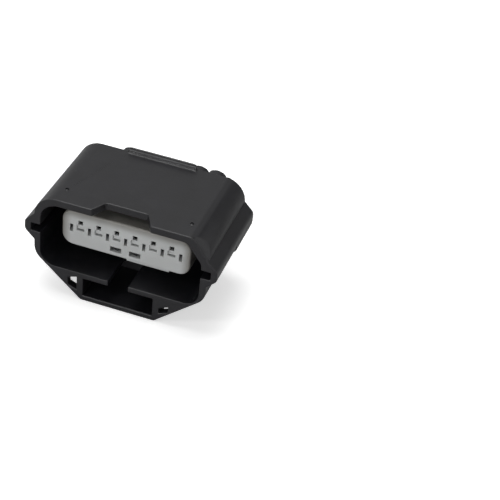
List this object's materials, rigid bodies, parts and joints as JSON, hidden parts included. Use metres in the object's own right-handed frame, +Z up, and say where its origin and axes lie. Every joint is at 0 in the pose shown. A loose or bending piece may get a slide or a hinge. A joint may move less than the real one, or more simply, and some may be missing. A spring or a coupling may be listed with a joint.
{
  "type": "sealed automotive connector",
  "caption": "Socket half of a sealed wire connector: black hood with side key ears, pale front holder, rocking lock lever underneath and wire-seal towers behind.",
  "frame": {"origin": "middle of the terminal block, in the plane of the hood's mating face", "axes": "+Y runs from the mating face into the connector, towards the wires; +Z is up, away from the lock; +X runs along the row of terminals, to the right of someone who looks into the mating face"},
  "size_m": [0.042, 0.031, 0.025],
  "materials": {
    "black_plastic": "satin",
    "pale_plastic": "satin",
    "seal_rubber": "matte",
    "tinned_terminal": "tin-plated, bright"
  },
  "bodies": {
    "connector": {"housing": "black_plastic", "packing_ring": "seal_rubber", "terminal_1": "tinned_terminal", "terminal_2": "tinned_terminal", "terminal_3": "tinned_terminal", "terminal_4": "tinned_terminal", "terminal_5": "tinned_terminal", "terminal_6": "tinned_terminal", "wire_seal_1": "seal_rubber", "wire_seal_2": "seal_rubber", "wire_seal_3": "seal_rubber", "wire_seal_4": "seal_rubber", "wire_seal_5": "seal_rubber", "wire_seal_6": "seal_rubber"},
    "holder": {"front_holder": "pale_plastic"},
    "lever": {"lock_lever": "black_plastic"}
  },
  "joints": [
    {"name": "holder_slide", "type": "slide", "parent": "connector", "child": "holder", "axis": [0, -1, 0], "range_m": [0, 0.0016]},
    {"name": "lever_rock", "type": "hinge", "parent": "connector", "child": "lever", "pos_m": [0, 0.0165, -0.01095], "axis": [1, 0, 0], "range_deg": [0, 11], "stiffness_Nm_per_rad": 0.3}
  ]
}
